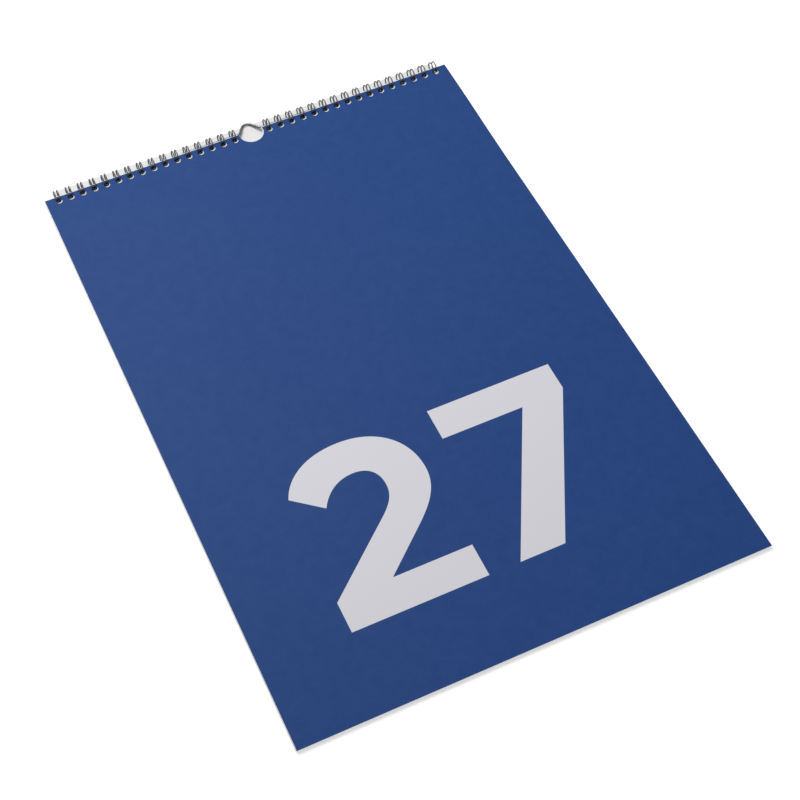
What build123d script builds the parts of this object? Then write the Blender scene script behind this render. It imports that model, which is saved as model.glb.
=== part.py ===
from build123d import *

import os
from math import asin, cos, degrees, hypot, pi, radians, sin, sqrt, tan

# A3 wall calendar with twin-loop wire binding and a wire hanger, lying flat on its back.
# Millimetres. +Z is up out of the cover, +Y points to the bound edge, +X runs to the right along it.
# The origin is at the middle of the whole object's footprint, on the surface that it lies on.

# ---------------------------------------------------------------- driving dimensions

# Sheets: A3 upright, bound along the short top edge.
sheet_width = 297.0
sheet_height = 420.0

# The three layers, from the front, and the air between them.
cover_thickness = 0.3
leaf_count = 12
leaf_thickness = 0.11
board_thickness = 0.45
layer_gap = 0.1

# Punching, 3:1 pitch: three holes to the inch, left out at the thumb cut.
hole_pitch = 25.4 / 3
end_margin = 8.0          # least, from a sheet's side to the nearest hole's centre
hole_diameter = 4.3
hole_margin = 3.75        # top edge to hole centre
cut_positions = 2         # hole places taken up by the thumb cut
cut_radius = 8.7
cut_margin = 1.4          # top edge to the thumb cut's centre

# How far each layer has slid on the loops: +X to the right, +Y towards the binding.
cover_slip_x = 0.2
leaves_slip_x = -0.2
leaves_slip_y = 0.9
board_slip_y = 0.9

# Twin-loop wire.
wire_diameter = 0.9
loop_radius = 3.7         # to the middle of the wire
strand_spacing = 2.4      # between the two strands of one loop
bend_radius = 0.8         # strand to spine bar
tip_gap = 0.35            # between a loop's tip and the spine bars
seam_gap = 0.2            # between the back board and the spine bars
stub_length = 1.5         # cut end of the spine
loop_above_cover = 0.3    # loop centre to the cover's face
cover_strand = 0.812      # hole centre to the strand, at the cover's face, towards the lower edge

# Hanger: one wire with a bump for the nail and two straight arms inside the loops.
hanger_diameter = 1.6
hanger_length = 100.0
hanger_shift = 0.3        # off the sheets' middle, to the right
bump_height = 8.0         # arm to the bump's top
bump_lean = 33.0          # degrees, each leg from the upright
bump_top_radius = 4.3
bump_foot_radius = 2.0
hanger_clearance = 0.06

# The sheets rise from the surface to the loops over this length, and are flat at both ends of it.
rise_length = 90.0
flat_at_loops = 9.0

# ---------------------------------------------------------------- worked-out places

leaves_thickness = leaf_count * leaf_thickness
wire_radius = wire_diameter / 2
hanger_radius = hanger_diameter / 2
loop_inside = loop_radius - wire_radius

# How far the loop centre lies beyond the cover's top edge, so that the strands pass through its holes.
loop_beyond_cover = sqrt(loop_radius**2 - loop_above_cover**2) - (hole_margin - cover_strand)

# Heights from the loop centre, downwards positive, of each layer's underside at the loops.
cover_depth = loop_above_cover + cover_thickness
leaves_depth = cover_depth + layer_gap + leaves_thickness
board_depth = leaves_depth + layer_gap + board_thickness

# Angles round the loop, from +Y towards +Z. The spine bars lie just behind the board.
bar_radius = hypot(loop_radius, bend_radius)
bar_angle = -pi + asin((board_depth + seam_gap + wire_radius) / bar_radius)
bend_angle = asin(bend_radius / bar_radius)
strand_start = bar_angle - bend_angle
tip_reach = strand_spacing / 2
strand_end = bar_angle + (tip_gap + wire_diameter + tip_reach) / loop_radius
strand_sweep = 2 * pi - (strand_end - strand_start)

# The loops stand on their tips.
tip_drop = -(loop_radius * sin(strand_end) - tip_reach * cos(strand_end))
loop_z = tip_drop + wire_radius
sheet_lift = loop_z - board_depth

# The arms lie low inside the loops, just beyond the leaves' top edge.
arm_offset = hanger_radius + hanger_clearance
arm_y_from_loop = leaves_slip_y - loop_beyond_cover + arm_offset
arm_depth = sqrt((loop_inside - arm_offset) ** 2 - arm_y_from_loop**2)
arm_z = loop_z - arm_depth
hanger_droop = asin((arm_z - hanger_radius) / bump_height)

# Footprint: from the cover's lower edge to the top of the bump.
bump_reach = loop_beyond_cover + arm_y_from_loop + bump_height * cos(hanger_droop) + hanger_radius
cover_top_y = (sheet_height - bump_reach) / 2
loop_y = cover_top_y + loop_beyond_cover
arm_y = loop_y + arm_y_from_loop

# Hole places along the edge, an even number of them, without those that the thumb cut takes.
hole_positions = 2 * int((sheet_width - 2 * end_margin + hole_pitch) / (2 * hole_pitch))
first_hole_x = -(hole_positions - 1) / 2 * hole_pitch
cut_start = (hole_positions - cut_positions) // 2
left_columns = [first_hole_x + i * hole_pitch for i in range(cut_start)]
right_columns = [-x for x in reversed(left_columns)]
hole_columns = left_columns + right_columns


# ---------------------------------------------------------------- sheets


def sheet_side(depth, thickness, slip_x, slip_y):
    """Side outline of one layer: flat on the surface, rising to the loops, flat again."""
    low = loop_z - depth - sheet_lift
    top_edge = cover_top_y + slip_y
    bottom_edge = top_edge - sheet_height
    rise_end = cover_top_y - flat_at_loops
    rise_start = rise_end - rise_length
    middle = (rise_start + rise_end) / 2
    rise_radius = (rise_length**2 + sheet_lift**2) / (4 * sheet_lift)
    with BuildSketch(Plane.YZ.offset(slip_x)) as outline:
        with BuildLine():
            for z in (low, low + thickness):
                Line((bottom_edge, z), (rise_start, z))
                RadiusArc((rise_start, z), (middle, z + sheet_lift / 2), -rise_radius)
                RadiusArc((middle, z + sheet_lift / 2), (rise_end, z + sheet_lift), rise_radius)
                Line((rise_end, z + sheet_lift), (top_edge, z + sheet_lift))
            Line((bottom_edge, low), (bottom_edge, low + thickness))
            Line((top_edge, low + sheet_lift), (top_edge, low + sheet_lift + thickness))
        make_face()
    return outline.sketch


def punching(slip_x, slip_y):
    """The round holes for the loops and the thumb cut, seen from above."""
    hole_y = cover_top_y + slip_y - hole_margin
    cut_y = cover_top_y + slip_y - cut_margin
    with BuildSketch() as punched:
        with Locations(*[(x + slip_x, hole_y) for x in hole_columns]):
            Circle(hole_diameter / 2)
        with Locations((slip_x, cut_y)):
            Circle(cut_radius)
    return punched.sketch


def bound_sheet(depth, thickness, slip_x, slip_y):
    """One punched layer, bent to lie on the surface and in the loops."""
    with BuildPart() as sheet:
        extrude(sheet_side(depth, thickness, slip_x, slip_y), amount=sheet_width / 2, both=True)
        extrude(punching(slip_x, slip_y), amount=2 * loop_z, mode=Mode.SUBTRACT)
    return sheet


cover = bound_sheet(cover_depth, cover_thickness, cover_slip_x, 0)
cover.part.label = "cover"

page_block = bound_sheet(leaves_depth, leaves_thickness, leaves_slip_x, leaves_slip_y)
page_block.part.label = "page_block"

back_board = bound_sheet(board_depth, board_thickness, 0, board_slip_y)
back_board.part.label = "back_board"


# ---------------------------------------------------------------- twin-loop wires


def on_loop(x, angle, along=0.0):
    """A point on the loop at this angle, moved along the tangent towards smaller angles."""
    y = loop_y + loop_radius * cos(angle) + along * sin(angle)
    z = loop_z + loop_radius * sin(angle) - along * cos(angle)
    return (x, y, z)


def strand(x, first, last):
    """One strand round the loop, as two arcs."""
    middle = (first + last) / 2
    for start, end in ((first, middle), (middle, last)):
        ThreePointArc(on_loop(x, start), on_loop(x, (start + end) / 2), on_loop(x, end))


def spine_bend(bar_end_x, strand_x):
    """Quarter turn between a spine bar and the foot of a strand."""
    middle_x = bar_end_x + (strand_x - bar_end_x) * sqrt(0.5)
    ThreePointArc(
        on_loop(bar_end_x, strand_start, -bend_radius),
        on_loop(middle_x, strand_start, -bend_radius * sqrt(0.5)),
        on_loop(strand_x, strand_start),
    )


def twin_loop_wire(columns):
    """One continuous wire: bar, strand, tip, strand, bar, for each hole in turn."""
    half = strand_spacing / 2
    far = strand_start - strand_sweep
    with BuildPart() as wire:
        with BuildLine() as route:
            bar_start = columns[0] - half - bend_radius - stub_length
            for x in columns:
                Line(
                    on_loop(bar_start, strand_start, -bend_radius),
                    on_loop(x - half - bend_radius, strand_start, -bend_radius),
                )
                spine_bend(x - half - bend_radius, x - half)
                strand(x - half, strand_start, far)
                ThreePointArc(on_loop(x - half, far), on_loop(x, far, tip_reach), on_loop(x + half, far))
                strand(x + half, far, strand_start)
                spine_bend(x + half + bend_radius, x + half)
                bar_start = x + half + bend_radius
            Line(
                on_loop(bar_start, strand_start, -bend_radius),
                on_loop(bar_start + stub_length, strand_start, -bend_radius),
            )
        start = route.line @ 0
        with BuildSketch(Plane(origin=start, z_dir=(1, 0, 0))):
            Circle(wire_radius)
        sweep(path=route.line)
    return wire, route.wire().length


wire_left, wire_length = twin_loop_wire(left_columns)
wire_left.part.label = "wire_left"

wire_right, _ = twin_loop_wire(right_columns)
wire_right.part.label = "wire_right"


# ---------------------------------------------------------------- hanger

# The bump's plane hangs from the arms and its top rests on the surface.
bump_plane = Plane(
    origin=(hanger_shift, arm_y, arm_z),
    x_dir=(1, 0, 0),
    z_dir=(0, sin(hanger_droop), cos(hanger_droop)),
)
lean = radians(bump_lean)
legs_meet = bump_height + bump_top_radius * (1 / sin(lean) - 1)
leg_foot = legs_meet * tan(lean)

with BuildPart() as hanger:
    with BuildLine(bump_plane) as hanger_route:
        FilletPolyline(
            (-hanger_length / 2, 0),
            (-leg_foot, 0),
            (0, legs_meet),
            (leg_foot, 0),
            (hanger_length / 2, 0),
            radius=(bump_foot_radius, bump_top_radius, bump_foot_radius),
        )
    with BuildSketch(Plane(origin=hanger_route.line @ 0, z_dir=(1, 0, 0))):
        Circle(hanger_radius)
    sweep(path=hanger_route.line)
hanger.part.label = "hanger"


# ---------------------------------------------------------------- files

os.makedirs("parts", exist_ok=True)
export_step(cover.part, "parts/cover.step")
export_step(page_block.part, "parts/page_block.step")
export_step(back_board.part, "parts/back_board.step")
export_step(wire_left.part, "parts/wire_left.step")
export_step(wire_right.part, "parts/wire_right.step")
export_step(hanger.part, "parts/hanger.step")

print("loop centre y, z:", round(loop_y, 3), round(loop_z, 3))
print("hanger axis y, z:", round(arm_y, 3), round(arm_z, 3), "droop", round(degrees(hanger_droop), 2))
print("cover top edge y:", round(cover_top_y, 3), "sheet lift", round(sheet_lift, 3))
print("wire volume over section times length:",
      round(wire_left.part.volume / (pi * wire_radius**2 * wire_length), 4))
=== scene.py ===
"""An A3 wall calendar lying on its back.

Card cover with a large number, leaves, back board, twin-loop wires and a hanger.
"""

from math import radians

import bpy
from bpy.props import FloatProperty, FloatVectorProperty, IntProperty, PointerProperty
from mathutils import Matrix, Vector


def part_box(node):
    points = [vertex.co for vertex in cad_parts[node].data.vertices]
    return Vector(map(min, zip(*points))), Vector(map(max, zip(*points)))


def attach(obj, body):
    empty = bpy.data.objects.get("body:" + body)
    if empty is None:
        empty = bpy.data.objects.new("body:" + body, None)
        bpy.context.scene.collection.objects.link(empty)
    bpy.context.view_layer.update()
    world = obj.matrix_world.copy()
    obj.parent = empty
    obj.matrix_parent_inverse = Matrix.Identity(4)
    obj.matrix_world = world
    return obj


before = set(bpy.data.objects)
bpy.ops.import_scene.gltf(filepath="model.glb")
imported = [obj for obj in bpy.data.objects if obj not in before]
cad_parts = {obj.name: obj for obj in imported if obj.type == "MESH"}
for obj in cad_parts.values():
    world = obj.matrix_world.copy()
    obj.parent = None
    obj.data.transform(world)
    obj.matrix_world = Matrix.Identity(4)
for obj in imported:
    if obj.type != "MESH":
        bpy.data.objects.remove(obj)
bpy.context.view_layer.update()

bl_info = {
    "name": "Wall calendar",
    "version": (1, 0, 0),
    "blender": (4, 5, 0),
    "location": "3D View > Sidebar > Calendar",
    "description": "Finishes the parts of a wire-bound wall calendar and lays its number on the cover",
    "category": "Object",
}

MM = 0.001


# ---------------------------------------------------------------- sizes and colours


def colour(name, description, default):
    """A colour that a user can change."""
    return FloatVectorProperty(name=name, description=description, subtype="COLOR", size=3,
                               min=0.0, max=1.0, default=default)


def length(name, description, default):
    """A length in metres that a user can change."""
    return FloatProperty(name=name, description=description, unit="LENGTH", default=default)


class SheetSettings(bpy.types.PropertyGroup):
    """Card, leaves and board."""

    cover_blue: colour("Cover blue", "Printed blue of the card cover", (0.012, 0.052, 0.205))
    cover_mottle: colour("Cover mottle", "Lighter blue of the grain in the card", (0.022, 0.068, 0.235))
    card_edge: colour("Card edge", "Cut edge of the blue card", (0.02, 0.045, 0.16))
    leaf_white: colour("Leaf white", "Paper of the month leaves", (0.86, 0.86, 0.86))
    # Grey of the paper fibres, and painted shade for the dark line between two leaves on their cut edges.
    leaf_grey_and_gap_shade: colour("Leaf shade", "Dark line between two leaves at their cut edges", (0.55, 0.55, 0.56))
    # Painted shade: the walls of the punched holes are darkened in their colour, standing in for the shade
    # inside the holes.
    painted_hole_shade: colour("Hole shade", "Dark walls of the punched holes", (0.06, 0.052, 0.052))
    board_grey: colour("Board grey", "Grey of the back board", (0.42, 0.4, 0.37))
    board_fleck: colour("Board fleck", "Flecks in the grey board", (0.3, 0.285, 0.26))
    cover_thickness: length("Cover thickness", "Thickness of the card cover", 0.3 * MM)
    leaf_thickness: length("Leaf thickness", "Thickness of one month leaf", 0.11 * MM)
    leaf_count: IntProperty(name="Leaves", description="Number of month leaves", default=12, min=1)
    hole_margin: length("Hole margin", "Cover's top edge to the middle of the sheets' hole rows", 3.3 * MM)
    hole_room: length("Hole room", "Half the height of the hole row", 2.7 * MM)
    cut_room: length("Cut room", "Half the width kept for the thumb cut", 11 * MM)
    last_hole: length("Last hole", "Middle of the sheet to beyond the last hole", 144 * MM)
    rise_length: length("Rise length", "Stretch over which the sheets rise to the loops", 90 * MM)
    flat_at_loops: length("Flat at loops", "Level stretch of the sheets beside the loops", 9 * MM)


class NumberSettings(bpy.types.PropertyGroup):
    """The figures of the year number on the cover."""

    paper_white: colour("Figure white", "Bare paper colour of the figures", (0.74, 0.73, 0.785))
    thickness: length("Thickness", "Thickness of a figure", 0.04 * MM)
    lift: length("Lift", "Air between the card and a figure", 0.01 * MM)
    steps: IntProperty(name="Curve steps", description="Straight steps to each curve of a figure",
                       default=24, min=4, max=64)


class MetalSettings(bpy.types.PropertyGroup):
    """Binding wires and hanger."""

    wire_dark: colour("Wire", "Dark steel of the twin loops", (0.115, 0.115, 0.12))
    hanger_dark: colour("Hanger", "Dark steel of the hanger", (0.115, 0.115, 0.12))
    roughness: FloatProperty(name="Roughness", description="Roughness of the wires", default=0.3,
                             min=0.0, max=1.0)


class StageSettings(bpy.types.PropertyGroup):
    """Floor, lamps and camera."""

    floor_size: length("Floor size", "Side of the square floor", 6.0)
    floor_drop: length("Floor drop", "Gap between the object's underside and the floor", 0.05 * MM)
    world_light: FloatProperty(name="World light", description="Strength of the even light", default=0.4)
    lamp_power: FloatProperty(name="Lamp power", description="Power of the soft lamp, in watts", default=8.8)
    lamp_size: length("Lamp size", "Side of the square lamp", 0.7)
    lamp_place: FloatVectorProperty(name="Lamp place", description="Where the lamp hangs",
                                    subtype="TRANSLATION", size=3, default=(-0.15, 0.6, 0.95))
    floor_lift: FloatProperty(name="Floor lift", default=0.45,
                              description="What brings the floor up to white as it is seen")
    # Edge room, loop room and loop span bound a box where the floor is not lifted to white: a grey patch of
    # painted shade under the loops and in the thumb cut.
    edge_room: length("Edge room", "Depth of the plain floor on the sheets' side of the loops", 14 * MM)
    loop_room: length("Loop room", "Reach of the plain floor beyond the cover's top edge", 9 * MM)
    loop_span: length("Loop span", "Half the width of the plain floor at the loops", 141 * MM)
    camera_place: FloatVectorProperty(name="Camera place", description="Where the camera stands",
                                      subtype="TRANSLATION", size=3, default=(-0.2481, -0.5097, 0.8171))
    camera_turn: FloatVectorProperty(name="Camera turn", description="How the camera is turned",
                                     subtype="EULER", size=3,
                                     default=(radians(33.107), radians(1.212), radians(-24.006)))
    camera_shift: FloatVectorProperty(name="Camera shift", description="Lens shift, across and up",
                                      size=2, default=(0.1021, 0.0037))
    lens: FloatProperty(name="Lens", description="Focal length in millimetres", default=71.75)


# ---------------------------------------------------------------- shader maths


class Term:
    """A shader socket that can be used in Python arithmetic."""

    def __init__(self, graph, socket):
        self.graph = graph
        self.socket = socket

    def maths(self, operation, first, second=0.0):
        return self.graph.node("ShaderNodeMath", {"operation": operation}, {0: first, 1: second})

    def __add__(self, other):
        return self.maths("ADD", self, other)

    def __sub__(self, other):
        return self.maths("SUBTRACT", self, other)

    def __mul__(self, other):
        return self.maths("MULTIPLY", self, other)

    def __truediv__(self, other):
        return self.maths("DIVIDE", self, other)

    def __lt__(self, other):
        return self.maths("LESS_THAN", self, other)

    def __gt__(self, other):
        return self.maths("GREATER_THAN", self, other)

    def __rsub__(self, other):
        return self.maths("SUBTRACT", other, self)

    __radd__ = __add__
    __rmul__ = __mul__

    def fraction(self):
        return self.maths("FRACT", self)

    def size(self):
        return self.maths("ABSOLUTE", self)


class Graph:
    """The nodes of one material."""

    def __init__(self, name):
        self.material = bpy.data.materials.new(name)
        self.material.use_nodes = True
        self.tree = self.material.node_tree
        self.surface = self.tree.nodes["Principled BSDF"]

    def node(self, kind, settings, inputs, output=0):
        """Adds a node, with its settings first and then its inputs, and returns one output."""
        made = self.tree.nodes.new(kind)
        for name, value in settings.items():
            setattr(made, name, value)
        self.fill(made, inputs)
        return Term(self, made.outputs[output])

    def fill(self, node, inputs):
        """Gives a node's inputs their values or links."""
        for name, value in inputs.items():
            if isinstance(value, Term):
                self.tree.links.new(value.socket, node.inputs[name])
            else:
                node.inputs[name].default_value = value

    def place(self, output="Object"):
        return self.node("ShaderNodeTexCoord", {}, {}, output)

    def split(self, vector):
        """The three numbers of a vector."""
        parts = self.tree.nodes.new("ShaderNodeSeparateXYZ")
        self.tree.links.new(vector.socket, parts.inputs[0])
        return [Term(self, socket) for socket in parts.outputs]

    def noise(self, scale, detail=3.0, roughness=0.55):
        return self.node("ShaderNodeTexNoise", {},
                         {"Vector": self.place(), "Scale": scale, "Detail": detail, "Roughness": roughness},
                         "Fac")

    def blend(self, share, first, second):
        """From the first colour to the second."""
        first, second = [value if isinstance(value, Term) else (*value, 1.0) for value in (first, second)]
        return self.node("ShaderNodeMix", {"data_type": "RGBA"}, {0: share, 6: first, 7: second}, 2)

    def relief(self, height, depth, strength=1.0):
        """A bumped normal. Depth is in metres."""
        return self.node("ShaderNodeBump", {}, {"Height": height, "Distance": depth, "Strength": strength},
                         "Normal")

    def finish(self, **inputs):
        """Sets the surface's own inputs and returns the material."""
        self.fill(self.surface, {name.replace("_", " "): value for name, value in inputs.items()})
        return self.material


CARD_GRAIN = 1400.0


def on_cut_edge(graph):
    """One on a sheet's cut edges, nought on its faces."""
    upright = graph.split(graph.place("Normal"))[2]
    return upright.size() < 0.5


def on_hole_wall(graph, settings):
    """One on the walls of the punched holes, where painted shade goes; nought elsewhere."""
    x, y, _ = graph.split(graph.place())
    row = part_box("cover")[1][1] - settings.hole_margin
    in_row = (y - row).size() < settings.hole_room
    beside_cut = x.size() > settings.cut_room
    inside_ends = x.size() < settings.last_hole
    return in_row * beside_cut * inside_ends * on_cut_edge(graph)


def card_finish(settings):
    graph = Graph("blue_card")
    grain = graph.noise(CARD_GRAIN, 4.0, 0.7)
    cloud = graph.noise(160.0, 3.0)
    tone = (grain * 0.65 + cloud * 0.35 - 0.36) * 3.2
    face = graph.blend(tone, settings.cover_blue, settings.cover_mottle)
    skin = graph.blend(on_cut_edge(graph), face, settings.card_edge)
    return graph.finish(Base_Color=skin, Roughness=0.46 + grain * 0.12, Specular_IOR_Level=0.11,
                        Normal=graph.relief(grain, 0.02 * MM, 0.5))


def figure_finish(settings):
    graph = Graph("figure_paper")
    grain = graph.noise(CARD_GRAIN, 4.0, 0.7)
    white = tuple(settings.paper_white)
    shade = tuple(value * 0.94 for value in white)
    skin = graph.blend(grain, shade, white)
    return graph.finish(Base_Color=skin, Roughness=0.62, Specular_IOR_Level=0.3,
                        Normal=graph.relief(grain, 0.02 * MM, 0.4))


def leaf_finish(settings):
    """White paper, with painted shade in the line between each leaf and the next on the cut edges."""
    graph = Graph("leaf_paper")
    low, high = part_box("page_block")
    rise_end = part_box("cover")[1][1] - settings.flat_at_loops
    leaf_stack_lift = (high[2] - low[2]) - settings.leaf_count * settings.leaf_thickness
    _, y, z = graph.split(graph.place())
    rise_start = rise_end - settings.rise_length
    along = graph.node("ShaderNodeClamp", {}, {0: (y - rise_start) / settings.rise_length})
    first_half = along < 0.5
    back = 1.0 - along
    rise = (along * along * 2.0) * first_half + (1.0 - back * back * 2.0) * (1.0 - first_half)
    level = (z - low[2] - rise * leaf_stack_lift) / settings.leaf_thickness
    # Painted shade: a dark line in the colour between each leaf and the next on the cut edges, standing in
    # for shade in the gaps.
    line = level.fraction() < 0.3
    fibres = graph.noise(900.0)
    paper = graph.blend(fibres * 0.12, settings.leaf_white, settings.leaf_grey_and_gap_shade)
    edge = graph.blend(line, settings.leaf_white, settings.leaf_grey_and_gap_shade)
    sides = graph.blend(on_cut_edge(graph), paper, edge)
    # Painted shade on the walls of the punched holes.
    skin = graph.blend(on_hole_wall(graph, settings), sides, settings.painted_hole_shade)
    return graph.finish(Base_Color=skin, Roughness=0.75, Specular_IOR_Level=0.3,
                        Normal=graph.relief(fibres, 0.01 * MM, 0.4))


def board_finish(settings):
    graph = Graph("grey_board")
    flecks = graph.noise(1100.0, 5.0, 0.75)
    cloud = graph.noise(90.0)
    tone = (flecks * 0.7 + cloud * 0.3 - 0.38) * 3.0
    face = graph.blend(tone, settings.board_grey, settings.board_fleck)
    # Painted shade on the walls of the punched holes.
    skin = graph.blend(on_hole_wall(graph, settings), face, settings.painted_hole_shade)
    return graph.finish(Base_Color=skin, Roughness=0.85, Specular_IOR_Level=0.25,
                        Normal=graph.relief(flecks, 0.03 * MM, 0.6))


def steel_finish(name, dark, roughness):
    """Dark coated wire with faint drawing marks."""
    graph = Graph(name)
    marks = graph.noise(2200.0, 4.0, 0.6)
    light = tuple(min(1.0, value * 1.35) for value in dark)
    skin = graph.blend(marks, tuple(dark), light)
    return graph.finish(Base_Color=skin, Metallic=1.0, Roughness=marks * 0.12 + (roughness - 0.06),
                        Normal=graph.relief(marks, 0.01 * MM, 0.3))


def paint(node, material):
    """Gives a CAD node its finish."""
    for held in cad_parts[node].material_slots:
        held.material = material


# ---------------------------------------------------------------- figures

# Outlines in millimetres, across and down from the cover's top left corner. Each step is the end of a
# straight run, or the two pulls and the end of a curve.
FIGURE_TWO = (
    (57.0, 277.0),
    ((62.5, 262.5), (78.0, 253.0), (99.0, 253.0)),
    ((123.5, 253.0), (140.0, 268.0), (140.0, 290.0)),
    ((140.0, 304.5), (131.0, 314.0), (119.0, 324.2)),
    (91.0, 348.0),
    (141.5, 348.0),
    (141.5, 369.5),
    (55.5, 369.5),
    (55.5, 349.5),
    (102.0, 310.5),
    ((110.0, 303.8), (113.75, 298.5), (113.75, 291.0)),
    ((113.75, 281.5), (108.5, 276.0), (99.0, 276.0)),
    ((89.0, 276.0), (80.5, 281.5), (75.0, 291.25)),
)
FIGURE_SEVEN = (
    (158.0, 255.25),
    (241.0, 255.25),
    (241.0, 274.5),
    (190.5, 369.5),
    (161.5, 369.5),
    (212.0, 276.75),
    (158.0, 276.75),
)


def lay_figure(name, outline, settings, sheets):
    """A flat figure cut to the outline, lying on the cover."""
    low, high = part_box("cover")
    left, top = low[0], high[1]
    surface = low[2] + sheets.cover_thickness

    def spot(point):
        return (left + point[0] * MM, top - point[1] * MM, 0.0)

    shape = bpy.data.curves.new(name, "CURVE")
    shape.dimensions = "2D"
    shape.fill_mode = "BOTH"
    shape.extrude = settings.thickness / 2
    shape.resolution_u = settings.steps
    spline = shape.splines.new("BEZIER")
    spline.use_cyclic_u = True
    spline.bezier_points.add(len(outline) - 1)
    ends = [step if isinstance(step[0], float) else step[2] for step in outline]
    for point, end in zip(spline.bezier_points, ends):
        point.co = spot(end)
        point.handle_left_type = point.handle_right_type = "FREE"
        point.handle_left = point.handle_right = point.co
    for index, step in enumerate(outline):
        if not isinstance(step[0], float):
            spline.bezier_points[index - 1].handle_right = spot(step[0])
            spline.bezier_points[index].handle_left = spot(step[1])
    figure = bpy.data.objects.new(name, shape)
    bpy.context.scene.collection.objects.link(figure)
    figure.location.z = surface + settings.lift + settings.thickness / 2
    bpy.ops.object.select_all(action="DESELECT")
    figure.select_set(True)
    bpy.context.view_layer.objects.active = figure
    bpy.ops.object.convert(target="MESH")
    bpy.ops.object.transform_apply(location=True, rotation=True, scale=True)
    figure = bpy.context.object
    figure.data.materials.clear()
    figure.data.materials.append(figure_finish(settings))
    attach(figure, "cover")
    return figure


# ---------------------------------------------------------------- operators


class CALENDAR_OT_cover(bpy.types.Operator):
    """Give the cover its blue card"""

    bl_idname = "calendar.cover"
    bl_label = "Finish cover"

    def execute(self, context):
        paint("cover", card_finish(context.scene.calendar_sheets))
        return {"FINISHED"}


class CALENDAR_OT_leaves(bpy.types.Operator):
    """Give the block of leaves its paper and the lines on its edges"""

    bl_idname = "calendar.leaves"
    bl_label = "Finish leaves"

    def execute(self, context):
        paint("page_block", leaf_finish(context.scene.calendar_sheets))
        return {"FINISHED"}


class CALENDAR_OT_board(bpy.types.Operator):
    """Give the back board its grey card"""

    bl_idname = "calendar.board"
    bl_label = "Finish back board"

    def execute(self, context):
        paint("back_board", board_finish(context.scene.calendar_sheets))
        return {"FINISHED"}


class CALENDAR_OT_metal(bpy.types.Operator):
    """Give the binding wires and the hanger their dark steel"""

    bl_idname = "calendar.metal"
    bl_label = "Finish wires and hanger"

    def execute(self, context):
        metal = context.scene.calendar_metal
        loops = steel_finish("loop_steel", metal.wire_dark, metal.roughness)
        paint("wire_left", loops)
        paint("wire_right", loops)
        paint("hanger", steel_finish("hanger_steel", metal.hanger_dark, metal.roughness))
        return {"FINISHED"}


class CALENDAR_OT_figures(bpy.types.Operator):
    """Lay the two figures of the year number on the cover"""

    bl_idname = "calendar.figures"
    bl_label = "Lay figures"

    def execute(self, context):
        number = context.scene.calendar_number
        sheets = context.scene.calendar_sheets
        lay_figure("figure_two", FIGURE_TWO, number, sheets)
        lay_figure("figure_seven", FIGURE_SEVEN, number, sheets)
        return {"FINISHED"}


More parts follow.
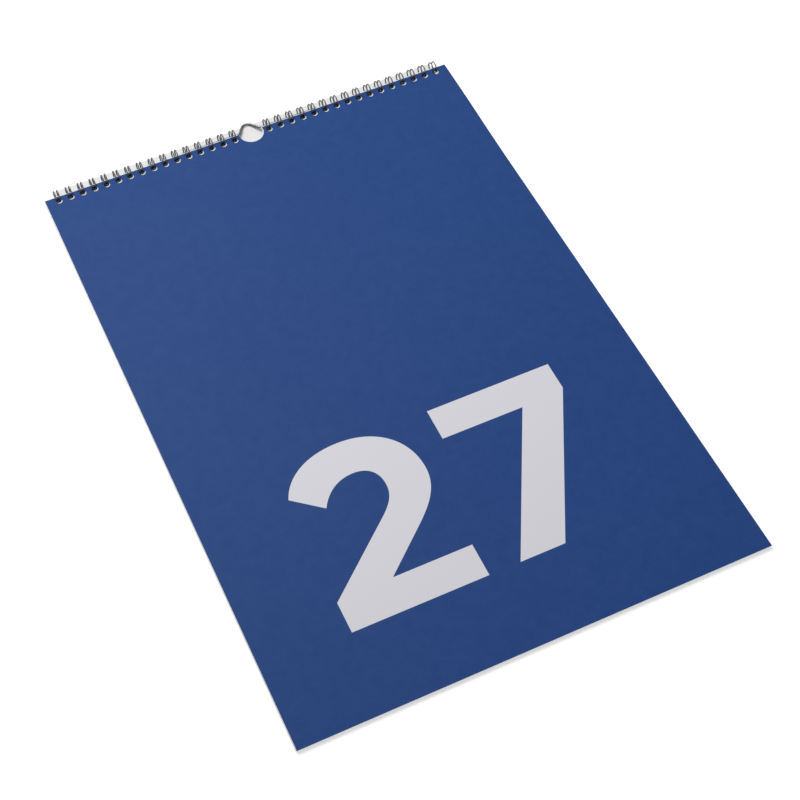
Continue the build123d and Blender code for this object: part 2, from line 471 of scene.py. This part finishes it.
class CALENDAR_OT_stage(bpy.types.Operator):
    """Set up the white floor, the soft light and the camera"""

    bl_idname = "calendar.stage"
    bl_label = "Set up stage"

    def execute(self, context):
        stage = context.scene.calendar_stage
        self.lay_floor(stage)
        self.light_world(context.scene, stage)
        self.hang_lamp(stage)
        self.aim_camera(context.scene, stage)
        context.scene.view_settings.view_transform = "Standard"
        return {"FINISHED"}

    def lay_floor(self, stage):
        bpy.ops.object.select_all(action="DESELECT")
        bpy.ops.mesh.primitive_plane_add(size=stage.floor_size, location=(0, 0, -stage.floor_drop))
        floor = bpy.context.object
        floor.name = "floor"
        graph = Graph("white_floor")
        seen = graph.node("ShaderNodeLightPath", {}, {}, "Is Camera Ray")
        mirrored = graph.node("ShaderNodeLightPath", {}, {}, "Is Glossy Ray")
        material = graph.finish(Base_Color=(0.8, 0.8, 0.8, 1.0), Roughness=0.9, Specular_IOR_Level=0.0,
                                Emission_Color=(1.0, 1.0, 1.0, 1.0))
        x, y, _ = graph.split(graph.place())
        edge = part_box("cover")[1][1]
        # Painted shade: the floor stays grey, unlifted, in a box along the loops and the thumb cut.
        unlifted_shade_at_loops = (x.size() < stage.loop_span) * (y > edge - stage.edge_room) * (y < edge + stage.loop_room)
        lift = (seen + mirrored) * (1.0 - unlifted_shade_at_loops) * stage.floor_lift
        graph.tree.links.new(lift.socket, graph.surface.inputs["Emission Strength"])
        floor.data.materials.append(material)

    def light_world(self, scene, stage):
        world = bpy.data.worlds.new("even_light")
        world.use_nodes = True
        nodes, links = world.node_tree.nodes, world.node_tree.links
        even = nodes["Background"]
        even.inputs["Color"].default_value = (1.0, 1.0, 1.0, 1.0)
        even.inputs["Strength"].default_value = stage.world_light
        white = nodes.new("ShaderNodeBackground")
        white.inputs["Color"].default_value = (1.0, 1.0, 1.0, 1.0)
        path = nodes.new("ShaderNodeLightPath")
        mix = nodes.new("ShaderNodeMixShader")
        seen = path.outputs["Is Camera Ray"]
        for ray in ("Is Transmission Ray", "Is Glossy Ray"):
            either = nodes.new("ShaderNodeMath")
            either.operation = "MAXIMUM"
            links.new(seen, either.inputs[0])
            links.new(path.outputs[ray], either.inputs[1])
            seen = either.outputs[0]
        links.new(seen, mix.inputs[0])
        links.new(even.outputs[0], mix.inputs[1])
        links.new(white.outputs[0], mix.inputs[2])
        links.new(mix.outputs[0], nodes["World Output"].inputs["Surface"])
        scene.world = world

    def hang_lamp(self, stage):
        bpy.ops.object.light_add(type="AREA", location=stage.lamp_place)
        lamp = bpy.context.object
        lamp.name = "soft_lamp"
        lamp.data.shape = "SQUARE"
        lamp.data.size = stage.lamp_size
        lamp.data.energy = stage.lamp_power
        lamp.rotation_euler = (-lamp.location).to_track_quat("-Z", "Y").to_euler()

    def aim_camera(self, scene, stage):
        bpy.ops.object.camera_add(location=stage.camera_place, rotation=stage.camera_turn)
        camera = bpy.context.object
        camera.data.lens = stage.lens
        camera.data.sensor_width = 36.0
        camera.data.shift_x, camera.data.shift_y = stage.camera_shift
        camera.data.clip_start = 0.01
        scene.camera = camera


class CALENDAR_PT_panel(bpy.types.Panel):
    """The steps of the calendar, in order"""

    bl_label = "Wall calendar"
    bl_idname = "CALENDAR_PT_panel"
    bl_space_type = "VIEW_3D"
    bl_region_type = "UI"
    bl_category = "Calendar"

    def draw(self, context):
        for step in STEPS:
            self.layout.operator(step.bl_idname)
        for name in SETTINGS:
            group = getattr(context.scene, name)
            for field in group.bl_rna.properties:
                if field.identifier not in ("rna_type", "name"):
                    self.layout.prop(group, field.identifier)


STEPS = (
    CALENDAR_OT_cover,
    CALENDAR_OT_leaves,
    CALENDAR_OT_board,
    CALENDAR_OT_metal,
    CALENDAR_OT_figures,
    CALENDAR_OT_stage,
)
SETTINGS = {
    "calendar_sheets": SheetSettings,
    "calendar_number": NumberSettings,
    "calendar_metal": MetalSettings,
    "calendar_stage": StageSettings,
}


def register():
    for group in SETTINGS.values():
        bpy.utils.register_class(group)
    for name, group in SETTINGS.items():
        setattr(bpy.types.Scene, name, PointerProperty(type=group))
    for step in STEPS:
        bpy.utils.register_class(step)
    bpy.utils.register_class(CALENDAR_PT_panel)


def unregister():
    bpy.utils.unregister_class(CALENDAR_PT_panel)
    for step in reversed(STEPS):
        bpy.utils.unregister_class(step)
    for name, group in SETTINGS.items():
        delattr(bpy.types.Scene, name)
        bpy.utils.unregister_class(group)


def main():
    register()
    bpy.ops.calendar.cover()
    bpy.ops.calendar.leaves()
    bpy.ops.calendar.board()
    bpy.ops.calendar.metal()
    bpy.ops.calendar.figures()
    bpy.ops.calendar.stage()


if __name__ == "__main__":
    main()
